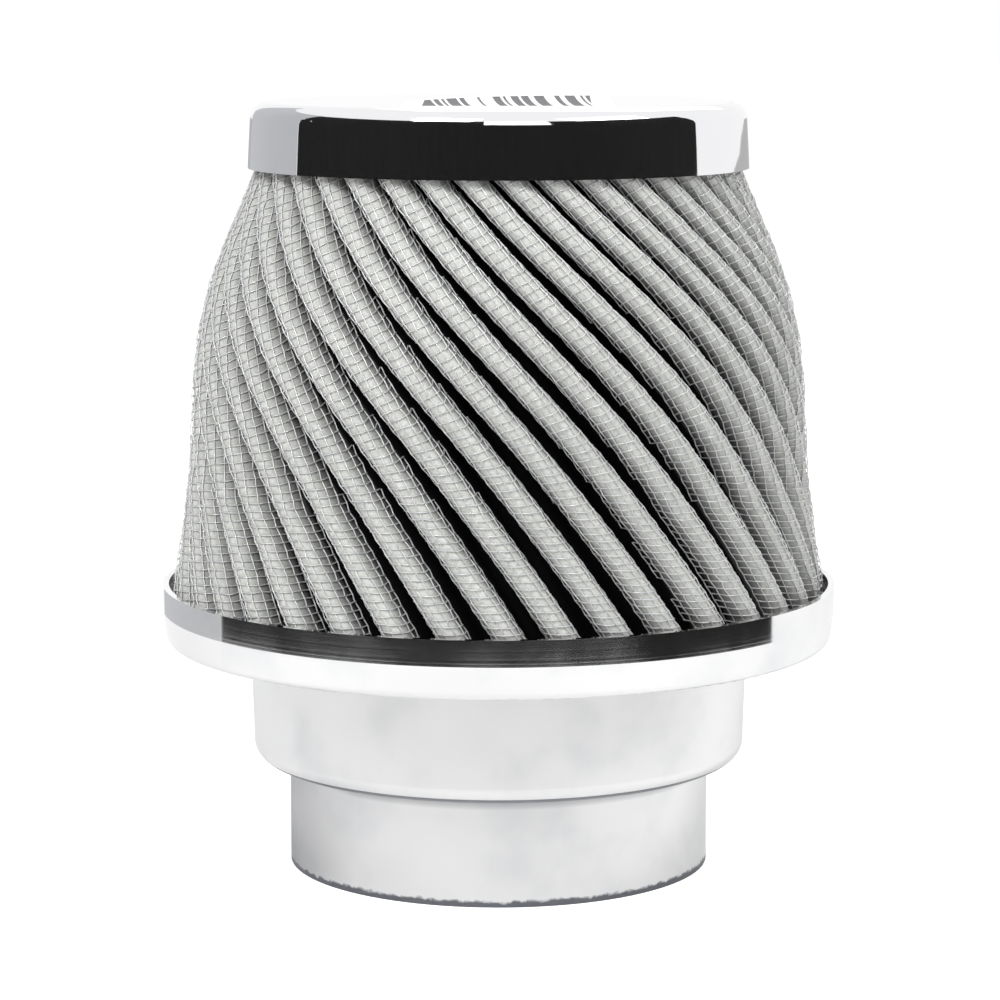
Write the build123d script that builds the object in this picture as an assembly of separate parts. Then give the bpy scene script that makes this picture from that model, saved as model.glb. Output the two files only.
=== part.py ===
"""Performance air filter with a twisted, pleated cone of wire cloth and media.

Millimetres, +Z up, the filter's axis on Z and the foot of the inlet neck at z = 0.
Azimuth is measured from the front (-Y) towards +X.
"""
from build123d import *
import os
from math import comb, cos, pi, radians, sin, sqrt

import numpy as np

# Base flange: one spun aluminium piece
neck_radius = 38.0
neck_foot_z = 0.0
step_z = 19.4
step_radius = 44.4
upper_neck_radius = 45.0
dish_z = 40.9
dish_radius = 60.0
knee_z = 46.5
rim_radius = 60.7
rim_z = 51.3
flange_wall = 1.1
step_inner_bend = 1.2
step_outer_bend = 3.0
dish_inner_bend = 0.4
dish_outer_bend = 1.5
knee_bend = 4.0

# End cap: one pressed steel cup
cap_edge_z = 125.7
cap_top_z = 137.4
cap_edge_radius = 44.65
cap_shoulder_radius = 44.0
cap_bend = 3.0
cap_wall = 0.8

# Paper label on the cap, one long edge lifted
label_width = 36.0
label_depth = 28.0
label_sheet = 0.15
label_lift = 1.3
label_centre_x = 1.5
label_far_y = -8.0

# Pleat pack: two sheets folded together on a plain inner cone; thicknesses are measured level, in the plane of a section
pleat_count = 38
pleat_depth = 12.0
crest_bend = 2.9
valley_bend = 0.7
mesh_sheet = 0.42
media_sheet = 0.7
sheet_gap = 0.05

# Strips to each half of a bend
crest_steps = 3
valley_steps = 1

# Radius of the crest line at evenly spaced heights, from inside the dish to inside the cap
crest_foot_z = 44.0
crest_head_z = 132.0
crest_radii = (58.9, 57.7, 55.9, 55.0, 52.6, 47.0, 42.4)

# Twist of the pleats: turn per millimetre at the rim and how fast it grows going up
first_crest_azimuth = 1.3
twist_rate = 0.664
twist_growth = 0.0045
pack_levels = 11

# Sealing compound that the pleat ends are cast into
base_potting_top_z = 46.3
cap_potting_low_z = 129.6
pack_foot_z = 43.8
pack_head_z = 132.4
potting_lip = 1.0
bond_gap = 0.05

pack_sheet = 2 * mesh_sheet + media_sheet + 2 * sheet_gap
half_pitch = pi / pleat_count
crest_line = np.polyfit(
    np.linspace(crest_foot_z, crest_head_z, len(crest_radii)) - rim_z, crest_radii, len(crest_radii) - 1
)


def crest_radius(z):
    return float(np.polyval(crest_line, z - rim_z))


def crest_azimuth(z):
    rise = z - rim_z
    return radians(first_crest_azimuth - twist_rate * rise - twist_growth * rise**2)


def bend_points(centre, radius, start, end, steps):
    """Points along an arc between two unit directions, evenly turned."""
    turn = np.arccos(np.clip(start @ end, -1, 1))
    side = (end - start * cos(turn)) / sin(turn)
    return [centre + radius * (start * cos(a) + side * sin(a)) for a in np.linspace(0, turn, steps + 1)]


def half_pleat(z, inset):
    """Points of half a pleat from the crest to the valley, as (across, radial).

    The flank is the line that touches the crest circle on one side and the valley circle on
    the other, so a sheet keeps its level thickness all along the fold.
    """
    crest_bend_here = crest_bend - inset
    valley_bend_here = valley_bend + inset
    crest_centre = np.array([0.0, crest_radius(z) - crest_bend])
    valley_distance = crest_radius(z) - pleat_depth + valley_bend
    outward = np.array([sin(half_pitch), cos(half_pitch)])
    valley_centre = valley_distance * outward
    span = valley_centre - crest_centre
    length = sqrt(span @ span)
    along = span / length
    across = np.array([-along[1], along[0]])
    lean = (crest_bend_here + valley_bend_here) / length
    normal = lean * along + sqrt(1 - lean**2) * across
    crest = bend_points(crest_centre, crest_bend_here, np.array([0.0, 1.0]), normal, crest_steps)
    valley = bend_points(valley_centre, valley_bend_here, -normal, -outward, valley_steps)
    return crest + valley


def level_sections(inset, side):
    """Half a pleat's points at each level, turned to that level's azimuth."""
    sections = []
    for z in np.linspace(pack_foot_z, pack_head_z, pack_levels):
        turn = crest_azimuth(z)
        sections.append(
            [
                (side * a * cos(turn) + r * sin(turn), side * a * sin(turn) - r * cos(turn), z)
                for a, r in half_pleat(z, inset)
            ]
        )
    return sections


def poles_through(points):
    """Control points of the Bezier curves through evenly spaced rows of points."""
    degree = len(points) - 1
    share = np.linspace(0, 1, degree + 1)
    weights = [[comb(degree, j) * s**j * (1 - s) ** (degree - j) for j in range(degree + 1)] for s in share]
    points = np.array(points)
    return np.linalg.solve(weights, points.reshape(degree + 1, -1)).reshape(points.shape)


def around(shapes):
    """One pleat's faces or edges, repeated round the axis."""
    return [Rot(Z=k * 360 / pleat_count) * shape for k in range(pleat_count) for shape in shapes]


def pleat_wall(inset):
    """All strips of one pleated surface, and its closed edge at the foot and at the head."""
    strips = []
    foot_edges = []
    head_edges = []
    for side in (-1, 1):
        poles = poles_through(level_sections(inset, side))
        for k in range(poles.shape[1] - 1):
            strip = [[tuple(p) for p in row] for row in poles[:, k : k + 2]]
            strips.append(Face.make_bezier_surface(strip))
            foot_edges.append(Edge.make_line(*strip[0]))
            head_edges.append(Edge.make_line(*strip[-1]))
    return around(strips), Wire(around(foot_edges)), Wire(around(head_edges))


def pleated_sheet(inset, thickness):
    """One folded sheet as a closed solid: its two pleated faces and the cut ends."""
    outside, outside_foot, outside_head = pleat_wall(inset)
    inside, inside_foot, inside_head = pleat_wall(inset + thickness)
    ends = [Face(outside_foot, [inside_foot]), Face(outside_head, [inside_head])]
    return Solid(Shell(outside + inside + ends))


def inner_cone():
    """Plain cone of wire cloth that the valleys rest on."""
    heights = np.linspace(pack_foot_z, pack_head_z, pack_levels)
    outer = [(crest_radius(z) - pleat_depth - inner_mesh_inset, z) for z in heights]
    inner = [(r - mesh_sheet, z) for r, z in outer]
    ends = Line(outer[-1], inner[-1]) + Line(inner[0], outer[0])
    return revolve(make_face(Plane.XZ * (Spline(*outer) + Spline(*inner) + ends)), Axis.Z)


def turned(points, bends):
    """A closed section in (radius, height), its corners rounded, turned about the axis."""
    return revolve(make_face(Plane.XZ * FilletPolyline(*points, radius=bends, close=True)), Axis.Z)


def flange_outline(inset):
    """Corners of the flange from the neck foot up to the rim, at a depth inside the outer skin."""
    return [
        (neck_radius - inset, neck_foot_z),
        (neck_radius - inset, step_z + inset),
        (step_radius - inset, step_z + inset),
        (upper_neck_radius - inset, dish_z + inset),
        (dish_radius - inset, dish_z + inset),
        (rim_radius - inset, knee_z),
        (rim_radius - inset, rim_z),
    ]


def base_flange():
    grow = flange_wall
    outer_bends = [0, step_inner_bend, step_outer_bend, dish_inner_bend, dish_outer_bend, knee_bend, 0]
    inner_bends = [
        0,
        step_inner_bend + grow,
        step_outer_bend - grow,
        dish_inner_bend + grow,
        dish_outer_bend - grow,
        knee_bend - grow,
        0,
    ]
    section = flange_outline(0) + flange_outline(flange_wall)[::-1]
    return turned(section, outer_bends + inner_bends[::-1])


def cap_outline(inset):
    """Corners of the cap from its lower edge up to the axis, at a depth inside the outer skin."""
    return [
        (cap_edge_radius - inset, cap_edge_z),
        (cap_shoulder_radius - inset, cap_top_z - inset),
        (0, cap_top_z - inset),
    ]


def end_cap():
    section = cap_outline(0) + cap_outline(cap_wall)[::-1]
    return turned(section, [0, cap_bend, 0, 0, cap_bend - cap_wall, 0])


def channel(low_z, high_z):
    """Inner and outer radius of the plain channel that the pack's end stands in."""
    radii = [crest_radius(z) for z in (low_z, (low_z + high_z) / 2, high_z)]
    return min(radii) - pleat_depth - pack_sheet - bond_gap, max(radii) + bond_gap


def cap_potting():
    edge, shoulder, centre = cap_outline(cap_wall + bond_gap)
    slope = (shoulder[0] - edge[0]) / (shoulder[1] - edge[1])
    low_radius = edge[0] + slope * (cap_potting_low_z - edge[1])
    inner, outer = channel(cap_potting_low_z, pack_head_z)
    section = [
        (low_radius, cap_potting_low_z),
        shoulder,
        centre,
        (0, cap_potting_low_z),
        (inner, cap_potting_low_z),
        (inner, pack_head_z),
        (outer, pack_head_z),
        (outer, cap_potting_low_z),
    ]
    return turned(section, [0, cap_bend - cap_wall - bond_gap, 0, 0, 0, 0, 0, 0])


def base_potting():
    floor_z = dish_z + flange_wall + bond_gap
    dish, knee = flange_outline(flange_wall + bond_gap)[4:6]
    slope = (knee[0] - dish[0]) / (knee[1] - dish[1])
    top_radius = dish[0] + slope * (base_potting_top_z - dish[1])
    inner, outer = channel(pack_foot_z, base_potting_top_z)
    bore_radius = inner - potting_lip
    relief = dish_inner_bend + flange_wall
    section = [
        (bore_radius, floor_z + relief),
        (bore_radius + relief, floor_z),
        dish,
        (top_radius, base_potting_top_z),
        (outer, base_potting_top_z),
        (outer, pack_foot_z),
        (inner, pack_foot_z),
        (inner, base_potting_top_z),
        (bore_radius, base_potting_top_z),
    ]
    return turned(section, [0, 0, dish_outer_bend - flange_wall, 0, 0, 0, 0, 0, 0])


def cap_label():
    """Paper sheet stuck down along its near edge and one end, the far edge lifted."""
    grid = []
    for k, lift in enumerate((0, label_lift, label_lift, label_lift)):
        x = label_centre_x + (k / 3 - 0.5) * label_width
        far_row = [(x, label_far_y, cap_top_z + lift)]
        grid.append(far_row + [(x, label_far_y - j / 3 * label_depth, cap_top_z) for j in (1, 2, 3)])
    return thicken(Face.make_bezier_surface(grid), amount=label_sheet, normal_override=(0, 0, 1))


media_inset = mesh_sheet + sheet_gap
inner_mesh_inset = media_inset + media_sheet + sheet_gap
nodes = {
    "base_flange": base_flange(),
    "base_potting": base_potting(),
    "outer_mesh": pleated_sheet(0, mesh_sheet),
    "filter_media": pleated_sheet(media_inset, media_sheet),
    "inner_mesh": inner_cone(),
    "cap_potting": cap_potting(),
    "end_cap": end_cap(),
    "cap_label": cap_label(),
}
os.makedirs("parts", exist_ok=True)
for name, shape in nodes.items():
    export_step(shape, f"parts/{name}.step")
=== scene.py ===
"""Looks of a cone air filter: chromed cap, spun aluminium base, twisted pleats under woven wire."""
import math

import bpy
import numpy as np
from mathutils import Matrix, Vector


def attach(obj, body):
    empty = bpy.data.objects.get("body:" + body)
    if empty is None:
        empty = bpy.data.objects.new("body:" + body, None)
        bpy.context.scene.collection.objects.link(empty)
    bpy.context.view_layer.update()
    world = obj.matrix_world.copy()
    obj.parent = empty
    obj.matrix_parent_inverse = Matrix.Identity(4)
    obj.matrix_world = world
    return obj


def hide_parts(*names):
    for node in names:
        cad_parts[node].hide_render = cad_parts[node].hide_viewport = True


MM = 0.001
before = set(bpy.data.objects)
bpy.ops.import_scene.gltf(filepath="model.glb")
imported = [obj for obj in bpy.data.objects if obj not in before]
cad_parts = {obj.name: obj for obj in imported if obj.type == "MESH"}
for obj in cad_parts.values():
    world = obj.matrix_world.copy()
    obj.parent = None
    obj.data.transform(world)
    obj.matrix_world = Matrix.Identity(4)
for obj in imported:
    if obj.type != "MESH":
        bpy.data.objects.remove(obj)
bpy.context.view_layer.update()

# The pleats, as the solids have them (mm and degrees)
PLEATS = 38
HALF_PITCH = math.pi / PLEATS
RIM_Z = 51.3
CREST_FOOT_Z = 44.0
CREST_HEAD_Z = 132.0
CREST_RADII = (58.9, 57.7, 55.9, 55.0, 52.6, 47.0, 42.4)
PLEAT_DEPTH = 12.0
CREST_BEND = 2.9
VALLEY_BEND = 0.7
FIRST_CREST_AZIMUTH = 1.3
TWIST_RATE = 0.664
TWIST_GROWTH = 0.0045
PACK_FOOT_Z = 43.8
PACK_HEAD_Z = 132.4

# The media sheet (mm), its mesh steps, and the share of the way into a fold over which it darkens
MEDIA_INSET = 0.47
MEDIA_SHEET = 0.7
MEDIA_STEPS = 24
MEDIA_LEVELS = 45
FOLD_SHADE = (0.11, 0.42)

# The wire cloth (mm), measured level, as the twist leaves it
WIRE = 0.27
CLOTH_INSET = 0.22
WEAVE_RISE = 0.11
WARP_PITCH = 1.9
WEFT_PITCH = 1.25
CLOTH_LOW_Z = 46.6
CLOTH_HIGH_Z = 129.4
CLOTH_LOW_MARGIN = 0.1
CLOTH_REACH = 6.8
SLIP_FROM_Z = 70.0
SLIP_EASE = 20.0
SLIP = 0.30
WARP_JITTER = 0.07
WEFT_JITTER = 0.05
WARP_SPREAD = 18
WARP_REACH = 8
WIRE_SIDES = 3
CLOTH_PARTS = 2
SEED = 38

# A point between two crossings shows if both do: the mean of two ones, not of one and nothing
BOTH_SHOWN = 0.9

# Finish of the base, and the painted shade on it (mm): from where to where each one grows
RIM_FINISH_Z = (40.0, 41.5)
FOOT_SHADE_Z = (0.0, 0.5)
FOOT_SHADE_RAGGED = 1.6
NECK_TOP_Z = 20.4
STEP_SHADE_Z = (17.2, 19.2)
SIDE_SHADE_X = (-25.0, -38.0)
DISH_SHADE_Z = (39.7, 40.6)
DISH_SHADE_RADIUS = 45.6

# The block of bars on the label (mm), and the share of the bars left white
BAR = 0.45
BAR_LEAN = 0.07
BARE_SHARE = 0.47
BAR_BLOCK_MIDDLE = (1.5, -20.0)
BAR_BLOCK_HALF = (14.5, 10.5)

# Camera fitted to the photograph (mm)
EYE = (0.0, -617.5, 157.8)
AIM = (0.0, 0.0, 65.6)
LENS = 124.2
SENSOR = 36.0
SHIFT_X = 0.0015
NEAREST = 10.0

# The table (mm) and its glow, and the white surroundings as they light and as they are seen
TABLE_SIZE = 12000.0
TABLE_GLOW = 0.55
WORLD_LIGHT = 0.55
WORLD_SEEN = 1.0

# Soft lamps: name, place (mm), size (mm), power (W)
LAMPS = (
    ("key", (-500, -900, 1100), 600, 13.0),
    ("fill", (900, -500, 900), 800, 6.0),
    ("rear", (200, 1000, 1000), 800, 4.0),
)

# Boards that show in bright metal: name, colour, glow, radius (mm), heights (mm), turn (degrees)
BOARD_STEPS = 48
BOARDS = (
    ("dark", "#0E0E0D", 0.0, 260, (3, 300), (-96, 94)),
    ("side", "#8C8E92", 0.25, 250, (3, 300), (-150, -96)),
    ("patch", "#FFFFFF", 0.8, 250, (200, 310), (-6, 22)),
)

rng = np.random.default_rng(SEED)
CREST_LEVELS = np.linspace(CREST_FOOT_Z, CREST_HEAD_Z, len(CREST_RADII))
CREST_LINE = np.polyfit(CREST_LEVELS - RIM_Z, CREST_RADII, len(CREST_RADII) - 1)


def linear(hex_colour):
    """sRGB hex to the linear colour that shaders take."""
    channels = [int(hex_colour[i:i + 2], 16) / 255 for i in (1, 3, 5)]
    return tuple(c / 12.92 if c <= 0.04045 else ((c + 0.055) / 1.055) ** 2.4 for c in channels) + (1.0,)


def add_node(tree, kind, inputs=None, **settings):
    """One shader node: settings are its properties, inputs are values or the sockets that feed it."""
    made = tree.nodes.new(kind)
    for name, value in settings.items():
        setattr(made, name, value)
    for name, value in (inputs or {}).items():
        if isinstance(value, bpy.types.NodeSocket):
            tree.links.new(value, made.inputs[name])
        else:
            made.inputs[name].default_value = value
    return made


def calc(tree, operation, *values):
    """The result of one sum on values or sockets."""
    made = add_node(tree, "ShaderNodeMath", dict(enumerate(values)), operation=operation)
    return made.outputs["Value"]


def ramp(tree, value, span, result=(0.0, 1.0), unit=1.0):
    """A socket's value over a span, in some unit, taken to the range of the result."""
    made = add_node(tree, "ShaderNodeMapRange", {
        "Value": value, "From Min": span[0] * unit, "From Max": span[1] * unit,
        "To Min": result[0], "To Max": result[1]})
    return made.outputs["Result"]


def noise(tree, place, size, detail, distortion=0.0):
    """Soft noise with features of about a size (mm)."""
    made = add_node(tree, "ShaderNodeTexNoise", {
        "Vector": place, "Scale": 1 / (size * MM), "Detail": detail, "Distortion": distortion})
    return made.outputs["Fac"]


def mixed(tree, factor, first, second):
    """A colour between two others, each a hex colour or the socket that feeds it."""
    ends = [end if isinstance(end, bpy.types.NodeSocket) else linear(end) for end in (first, second)]
    made = add_node(tree, "ShaderNodeMix", {0: factor, 6: ends[0], 7: ends[1]}, data_type="RGBA")
    return made.outputs[2]


def emboss(tree, shader, height, strength, depth):
    """Fine relief on a surface, to a depth (mm)."""
    made = add_node(tree, "ShaderNodeBump", {
        "Height": height, "Strength": strength, "Distance": depth * MM})
    tree.links.new(made.outputs["Normal"], shader.inputs["Normal"])


def object_place(tree):
    """Where a point lies on its own piece (m)."""
    return add_node(tree, "ShaderNodeTexCoord").outputs["Object"]


def new_material(name):
    """A material with its node tree and its shader."""
    made = bpy.data.materials.new(name)
    made.use_nodes = True
    return made, made.node_tree, made.node_tree.nodes["Principled BSDF"]


def chromed_steel():
    """Bright chrome on pressed steel: a near mirror, a little wavy from the press, faintly smeared."""
    made, tree, shader = new_material("chromed_steel")
    shader.inputs["Base Color"].default_value = linear("#F1F1F3")
    shader.inputs["Metallic"].default_value = 1.0
    place = object_place(tree)
    smear = noise(tree, place, size=14, detail=6.0)
    rough = ramp(tree, smear, (0.45, 0.75), (0.03, 0.11))
    tree.links.new(rough, shader.inputs["Roughness"])
    wave = noise(tree, place, size=22, detail=2.0)
    emboss(tree, shader, wave, strength=0.25, depth=0.25)
    return made


def spun_aluminium():
    """Aluminium spun on a lathe: fine rings round the axis, smoother on the rim than on the neck.

    Painted shade darkens it in a ragged band at the foot, under the step, down one side and under the dish.
    """
    made, tree, shader = new_material("spun_aluminium")
    shader.inputs["Metallic"].default_value = 1.0
    place = object_place(tree)
    split = add_node(tree, "ShaderNodeSeparateXYZ", {"Vector": place})
    x, y, z = (split.outputs[axis] for axis in "XYZ")
    flat = add_node(tree, "ShaderNodeCombineXYZ", {"X": x, "Y": y}).outputs["Vector"]
    radius = add_node(tree, "ShaderNodeVectorMath", {0: flat}, operation="LENGTH").outputs["Value"]
    ring_place = add_node(tree, "ShaderNodeCombineXYZ", {"X": radius, "Z": z}).outputs["Vector"]
    rings = noise(tree, ring_place, size=0.5, detail=3.0)
    smear = noise(tree, place, size=16, detail=5.0)
    finish = ramp(tree, z, RIM_FINISH_Z, (0.34, 0.07), MM)
    uneven = ramp(tree, smear, (0.35, 0.7), (-0.03, 0.04))
    tree.links.new(calc(tree, "ADD", finish, uneven), shader.inputs["Roughness"])
    unshaded = mixed(tree, ramp(tree, smear, (0.50, 0.72)), "#F8F8F8", "#ECEDEF")
    # Painted shade at the foot, in a ragged band where the base stands on the table
    grain = noise(tree, place, size=1.5, detail=4.0)
    ragged = calc(tree, "MULTIPLY_ADD", grain, -FOOT_SHADE_RAGGED * MM, z)
    painted_shade = ramp(tree, ragged, FOOT_SHADE_Z, (0.9, 0.0), MM)
    on_neck = calc(tree, "LESS_THAN", z, NECK_TOP_Z * MM)
    by_neck = calc(tree, "LESS_THAN", radius, DISH_SHADE_RADIUS * MM)
    # Painted shade under the step, down the left side of the neck and under the dish
    for value, span, strength, where in (
            (z, STEP_SHADE_Z, 0.8, on_neck),
            (x, SIDE_SHADE_X, 0.55, on_neck),
            (z, DISH_SHADE_Z, 0.75, by_neck)):
        shade = ramp(tree, value, span, (0.0, strength), MM)
        painted_shade = calc(tree, "MAXIMUM", painted_shade, calc(tree, "MULTIPLY", shade, where))
    # The painted shade darkens the metal towards a dark blue-grey
    tree.links.new(mixed(tree, painted_shade, unshaded, "#5A5C66"), shader.inputs["Base Color"])
    emboss(tree, shader, rings, strength=0.18, depth=0.03)
    return made


def drawn_wire():
    """Drawn steel wire, plated: pale and satin, a little uneven in tone."""
    made, tree, shader = new_material("drawn_wire")
    shader.inputs["Metallic"].default_value = 0.4
    shader.inputs["Roughness"].default_value = 0.32
    shade = noise(tree, object_place(tree), size=3, detail=3.0)
    tree.links.new(mixed(tree, shade, "#FFFFFF", "#CFD0D2"), shader.inputs["Base Color"])
    return made


def fibre_media():
    """Non-woven fibre sheet: dull pale grey with fine soft mottling, dark down in the folds."""
    made, tree, shader = new_material("fibre_media")
    shader.inputs["Roughness"].default_value = 0.9
    shader.inputs["Specular IOR Level"].default_value = 0.2
    matting = noise(tree, object_place(tree), size=1.1, detail=5.0, distortion=1.5)
    pale = mixed(tree, matting, "#A0A29D", "#E4E5E1")
    depth = add_node(tree, "ShaderNodeAttribute", attribute_name="depth").outputs["Fac"]
    tint = mixed(tree, ramp(tree, depth, FOLD_SHADE), pale, "#121213")
    tree.links.new(tint, shader.inputs["Base Color"])
    emboss(tree, shader, matting, strength=0.6, depth=0.25)
    return made


def sealing_compound():
    """Cast polyurethane, dark grey, satin, with slight flow marks."""
    made, tree, shader = new_material("sealing_compound")
    shader.inputs["Roughness"].default_value = 0.45
    flow = noise(tree, object_place(tree), size=6, detail=3.0)
    tree.links.new(mixed(tree, flow, "#2B2C2E", "#3A3B3D"), shader.inputs["Base Color"])
    emboss(tree, shader, flow, strength=0.3, depth=0.3)
    return made


def coated_paper():
    """Coated white paper with a plain block of printed bars."""
    made, tree, shader = new_material("coated_paper")
    shader.inputs["Roughness"].default_value = 0.55
    split = add_node(tree, "ShaderNodeSeparateXYZ", {"Vector": object_place(tree)})
    x, y = split.outputs["X"], split.outputs["Y"]
    step = calc(tree, "SNAP", calc(tree, "MULTIPLY_ADD", y, BAR_LEAN, x), BAR * MM)
    shuffle = add_node(tree, "ShaderNodeTexWhiteNoise", {"W": step}, noise_dimensions="1D")
    bars = calc(tree, "GREATER_THAN", shuffle.outputs["Value"], BARE_SHARE)
    for value, middle, half in zip((x, y), BAR_BLOCK_MIDDLE, BAR_BLOCK_HALF):
        bars = calc(tree, "MULTIPLY", bars, calc(tree, "COMPARE", value, middle * MM, half * MM))
    tree.links.new(mixed(tree, bars, "#F4F4F2", "#2C2C34"), shader.inputs["Base Color"])
    return made


def crest_radius(z):
    """Radius of the crests at some heights (mm)."""
    return np.polyval(CREST_LINE, z - RIM_Z)


def crest_azimuth(z):
    """Turn of the first crest at some heights (mm), in radians."""
    rise = z - RIM_Z
    return np.radians(FIRST_CREST_AZIMUTH - TWIST_RATE * rise - TWIST_GROWTH * rise**2)


def fold_shape(z, inset):
    """Half a pleat at some heights (mm): crest and valley centres, flank normal, turn and run lengths."""
    crest = crest_radius(z) - CREST_BEND
    valley = crest_radius(z) - PLEAT_DEPTH + VALLEY_BEND
    span = np.stack([valley * math.sin(HALF_PITCH), valley * math.cos(HALF_PITCH) - crest])
    length = np.hypot(*span)
    lean = (CREST_BEND + VALLEY_BEND) / length
    upright = np.sqrt(1 - lean**2)
    normal = np.stack([lean * span[0] - upright * span[1], lean * span[1] + upright * span[0]]) / length
    turn = np.arctan2(normal[0], normal[1])
    crest_run = (CREST_BEND - inset) * turn
    flank_run = length * upright
    valley_run = (VALLEY_BEND + inset) * (turn - HALF_PITCH)
    return crest, valley, normal, turn, crest_run, flank_run, valley_run


def pleat_surface(pleat, along, z, inset):
    """Points and level normals (mm) on the pleats, at signed distances along the fold from each crest."""
    crest, valley, flank_normal, turn, crest_run, flank_run, _ = fold_shape(z, inset)
    crest_bend = CREST_BEND - inset
    valley_bend = VALLEY_BEND + inset
    away = np.abs(along)
    on_flank = np.clip(away - crest_run, 0, flank_run)
    in_valley = np.maximum(away - crest_run - flank_run, 0)
    bent = np.minimum(away / crest_bend, turn)
    angle = bent - in_valley / valley_bend
    normal = np.stack([np.sin(angle), np.cos(angle)])
    across = crest_bend * np.sin(bent) + on_flank * flank_normal[1]
    radial = crest + crest_bend * np.cos(bent) - on_flank * flank_normal[0]
    deep = in_valley > 0
    across = np.where(deep, valley * math.sin(HALF_PITCH) - valley_bend * normal[0], across)
    radial = np.where(deep, valley * math.cos(HALF_PITCH) - valley_bend * normal[1], radial)
    side = np.sign(along)
    azimuth = crest_azimuth(z) + pleat * 2 * HALF_PITCH
    sine, cosine = np.sin(azimuth), np.cos(azimuth)
    points = [side * across * cosine + radial * sine, side * across * sine - radial * cosine, z]
    normals = [
        side * normal[0] * cosine + normal[1] * sine,
        side * normal[0] * sine - normal[1] * cosine,
        0 * z,
    ]
    return np.stack(points, -1), np.stack(normals, -1)


def midpoints(values, axis):
    """The values with the mean of each neighbouring pair put between them."""
    values = np.moveaxis(values, axis, 0)
    out = np.empty((2 * len(values) - 1,) + values.shape[1:])
    out[::2] = values
    out[1::2] = (values[1:] + values[:-1]) / 2
    return np.moveaxis(out, 0, axis)


def add_piece(name, points, faces, material, node):
    """A mesh piece of the object (points in mm) that shows in place of a CAD node."""
    mesh = bpy.data.meshes.new(name)
    mesh.from_pydata((points * MM).tolist(), [], faces.tolist())
    mesh.polygons.foreach_set("use_smooth", [True] * len(mesh.polygons))
    mesh.update()
    mesh.materials.append(material)
    piece = bpy.data.objects.new(name, mesh)
    bpy.context.scene.collection.objects.link(piece)
    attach(piece, "root")
    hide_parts(node)
    return piece


def tubes(points, normals, keep):
    """Vertices and faces of tubes along the rows of points: a row is a wire, left out where keep is false."""
    ahead = np.gradient(points, axis=1)
    ahead /= np.linalg.norm(ahead, axis=-1, keepdims=True)
    side = np.cross(ahead, normals)
    side /= np.linalg.norm(side, axis=-1, keepdims=True)
    up = np.cross(side, ahead)
    ring = np.arange(WIRE_SIDES) * 2 * math.pi / WIRE_SIDES + math.pi / 2
    verts = points[:, :, None] + WIRE / 2 * (
        np.cos(ring)[:, None] * side[:, :, None] + np.sin(ring)[:, None] * up[:, :, None])
    index = np.arange(points.shape[0] * points.shape[1]).reshape(points.shape[:2]) * WIRE_SIDES
    both = keep[:, 1:] & keep[:, :-1]
    start, end = index[:, :-1][both], index[:, 1:][both]
    quads = np.concatenate([
        np.stack([start + k, end + k, end + (k + 1) % WIRE_SIDES, start + (k + 1) % WIRE_SIDES], -1)
        for k in range(WIRE_SIDES)])
    used, faces = np.unique(quads, return_inverse=True)
    return verts.reshape(-1, 3)[used], faces.reshape(-1, 4)


def woven_cloth(pleats):
    """Warp and weft of the wire cloth over some pleats, as grids of crossings that pass over and under."""
    columns = np.arange(-WARP_SPREAD, WARP_REACH)
    heights = np.arange(CLOTH_LOW_Z, CLOTH_HIGH_Z, WEFT_PITCH)
    pleat, column, height = np.meshgrid(pleats.astype(float), columns, heights, indexing="ij")
    slip = SLIP * np.maximum(height - SLIP_FROM_Z, 0)
    tilt = SLIP * np.clip((height - SLIP_FROM_Z) / SLIP_EASE, 0, 1)
    own = rng.uniform(-0.5, 0.5, len(pleats))[:, None, None]
    along = (column + own) * WARP_PITCH + slip + rng.normal(0, WARP_JITTER, pleat.shape)
    z = height + tilt * along + rng.normal(0, WEFT_JITTER, pleat.shape)
    sign = np.where((column + np.round(height / WEFT_PITCH)) % 2 == 0, 1.0, -1.0)
    keep = np.abs(along) < CLOTH_REACH
    keep &= (z > CLOTH_LOW_Z - CLOTH_LOW_MARGIN) & (z < CLOTH_HIGH_Z)
    made = []
    for name, axis, over in (("warp", 2, 1.0), ("weft", 1, -1.0)):
        a, h, p = (midpoints(v, axis) for v in (along, z, pleat))
        rise = midpoints(over * sign * WEAVE_RISE, axis)
        shown = midpoints(keep.astype(float), axis) > BOTH_SHOWN
        points, normals = pleat_surface(p, a, h, CLOTH_INSET)
        points = points + normals * rise[..., None]
        if axis == 1:
            points, normals, shown = (np.swapaxes(v, 1, 2) for v in (points, normals, shown))
        rows = points.shape[0] * points.shape[1]
        points, normals = (v.reshape(rows, -1, 3) for v in (points, normals))
        made.append((name, points, normals, shown.reshape(rows, -1)))
    return made


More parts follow.
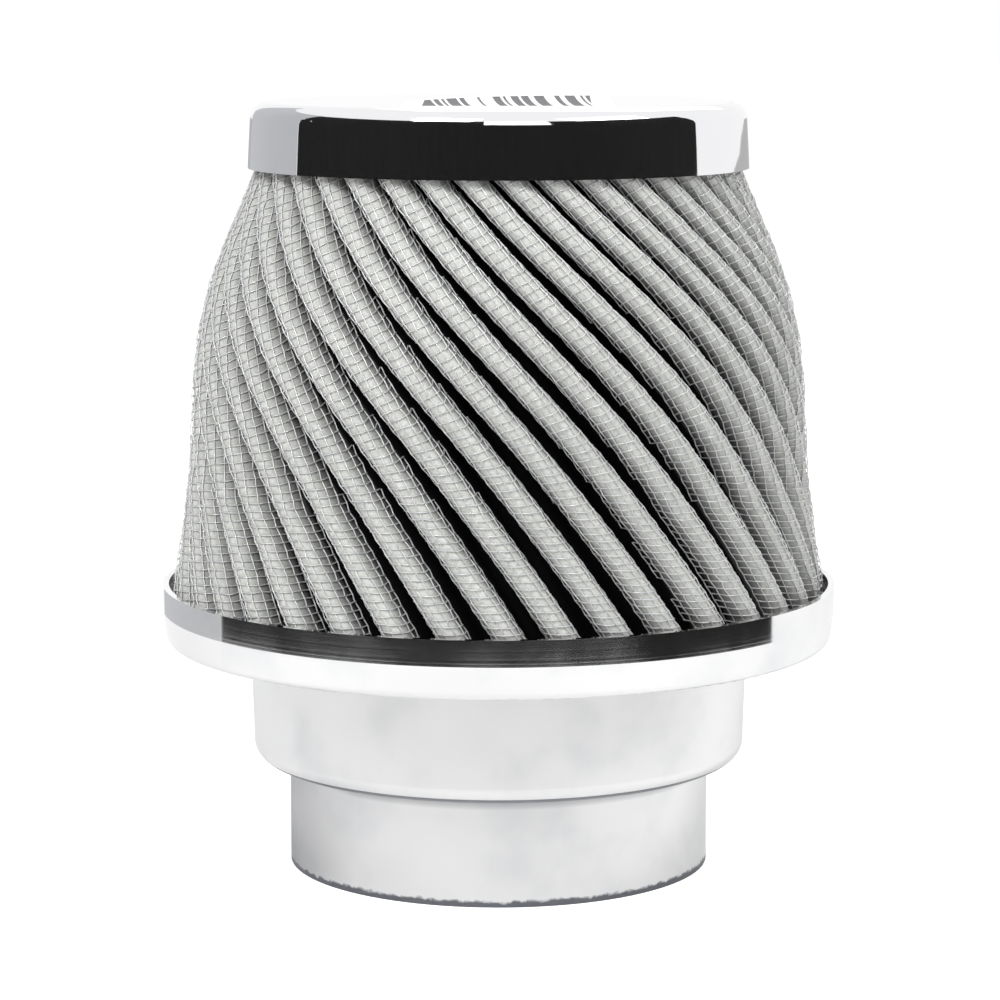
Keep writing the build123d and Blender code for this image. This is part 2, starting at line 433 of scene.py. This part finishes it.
def media_folds(material):
    """The folded sheet, closed at both ends, with how deep in the fold each point lies."""
    share = np.linspace(-1, 1, MEDIA_STEPS + 1)[:-1]
    heights = np.linspace(PACK_FOOT_Z, PACK_HEAD_Z, MEDIA_LEVELS)
    pleat, part, z = np.meshgrid(np.arange(PLEATS, dtype=float), share, heights, indexing="ij")
    skins = []
    for inset in (MEDIA_INSET, MEDIA_INSET + MEDIA_SHEET):
        runs = fold_shape(z, inset)[-3:]
        points, _ = pleat_surface(pleat, part * sum(runs), z, inset)
        skins.append(points.reshape(-1, MEDIA_LEVELS, 3))
    index = np.arange(z.size).reshape(-1, MEDIA_LEVELS)
    ahead = np.roll(index, -1, 0)
    outside = np.stack([index[:, :-1], ahead[:, :-1], ahead[:, 1:], index[:, 1:]], -1).reshape(-1, 4)
    inside = outside[:, ::-1] + z.size
    foot = np.stack([index[:, 0], index[:, 0] + z.size, ahead[:, 0] + z.size, ahead[:, 0]], -1)
    head = np.stack([index[:, -1], ahead[:, -1], ahead[:, -1] + z.size, index[:, -1] + z.size], -1)
    points = np.concatenate(skins).reshape(-1, 3)
    faces = np.concatenate([outside, inside, foot, head])
    piece = add_piece("media_folds", points, faces, material, "filter_media")
    depth = piece.data.attributes.new("depth", "FLOAT", "POINT")
    depth.data.foreach_set("value", np.tile(np.abs(part).ravel(), len(skins)))


def wire_cloth(material):
    """Woven wire in place of the plain outer sheet, in a few pieces."""
    for part, pleats in enumerate(np.array_split(np.arange(PLEATS), CLOTH_PARTS)):
        for name, points, normals, keep in woven_cloth(pleats):
            verts, faces = tubes(points, normals, keep)
            add_piece(f"outer_{name}_{part + 1}", verts, faces, material, "outer_mesh")


def finish_node(node, material):
    """Gives a CAD node its material."""
    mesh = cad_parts[node].data
    mesh.materials.clear()
    mesh.materials.append(material)


def floor():
    """Plain white table top, lifted to white where the camera sees it."""
    made, tree, shader = new_material("white_table")
    shader.inputs["Base Color"].default_value = linear("#E9E9E9")
    shader.inputs["Roughness"].default_value = 0.8
    shader.inputs["Specular IOR Level"].default_value = 0.1
    shader.inputs["Emission Color"].default_value = linear("#FFFFFF")
    ray = add_node(tree, "ShaderNodeLightPath")
    glow = calc(tree, "MULTIPLY", ray.outputs["Is Camera Ray"], TABLE_GLOW)
    tree.links.new(glow, shader.inputs["Emission Strength"])
    bpy.ops.mesh.primitive_plane_add(size=TABLE_SIZE * MM)
    piece = bpy.context.object
    piece.name = "table"
    piece.data.materials.append(made)


def curved_board(name, shade, glow, radius, heights, turn):
    """A curved board round the object, hidden from the camera, that only shows in bright metal."""
    made, _, shader = new_material(f"{name}_board")
    shader.inputs["Base Color"].default_value = linear(shade)
    shader.inputs["Roughness"].default_value = 1.0
    shader.inputs["Emission Color"].default_value = linear("#FFFFFF")
    shader.inputs["Emission Strength"].default_value = glow
    turns = np.radians(np.linspace(*turn, BOARD_STEPS + 1))
    rows = [(radius * math.sin(t), -radius * math.cos(t), h) for h in heights for t in turns]
    faces = [(k, k + 1, k + BOARD_STEPS + 2, k + BOARD_STEPS + 1) for k in range(BOARD_STEPS)]
    mesh = bpy.data.meshes.new(name)
    mesh.from_pydata((np.array(rows) * MM).tolist(), [], faces)
    piece = bpy.data.objects.new(name, mesh)
    bpy.context.scene.collection.objects.link(piece)
    mesh.materials.append(made)
    piece.visible_camera = False
    piece.visible_diffuse = False
    piece.visible_shadow = False
    piece.visible_transmission = False


def stand(name, data, spot):
    """A lamp or a camera at a spot (mm), turned to the aim point."""
    piece = bpy.data.objects.new(name, data)
    bpy.context.scene.collection.objects.link(piece)
    piece.location = np.array(spot) * MM
    aim = np.array(AIM) - np.array(spot)
    piece.rotation_euler = Vector(aim).to_track_quat("-Z", "Y").to_euler()
    return piece


def studio_light():
    """White surroundings, and large soft lamps from above."""
    world = bpy.data.worlds.new("studio")
    bpy.context.scene.world = world
    world.use_nodes = True
    tree = world.node_tree
    ray = add_node(tree, "ShaderNodeLightPath")
    seen = calc(tree, "MAXIMUM", ray.outputs["Is Camera Ray"], ray.outputs["Is Transmission Ray"])
    shown = calc(tree, "MAXIMUM", seen, ray.outputs["Is Glossy Ray"])
    strength = ramp(tree, shown, (0.0, 1.0), (WORLD_LIGHT, WORLD_SEEN))
    back = tree.nodes["Background"]
    back.inputs["Color"].default_value = (1, 1, 1, 1)
    tree.links.new(strength, back.inputs["Strength"])
    for name, spot, size, power in LAMPS:
        lamp = bpy.data.lights.new(name, "AREA")
        lamp.size = size * MM
        lamp.energy = power
        stand(name, lamp, spot)


def camera():
    """The camera that took the photograph, as fitted."""
    lens = bpy.data.cameras.new("camera")
    lens.lens = LENS
    lens.sensor_width = SENSOR
    lens.shift_x = SHIFT_X
    lens.clip_start = NEAREST * MM
    bpy.context.scene.camera = stand("camera", lens, EYE)


bpy.context.scene.view_settings.view_transform = "Standard"
camera()
studio_light()
floor()
for board in BOARDS:
    curved_board(*board)
wire = drawn_wire()
compound = sealing_compound()
finish_node("end_cap", chromed_steel())
finish_node("base_flange", spun_aluminium())
finish_node("inner_mesh", wire)
finish_node("base_potting", compound)
finish_node("cap_potting", compound)
finish_node("cap_label", coated_paper())
wire_cloth(wire)
media_folds(fibre_media())

bpy.context.view_layer.update()
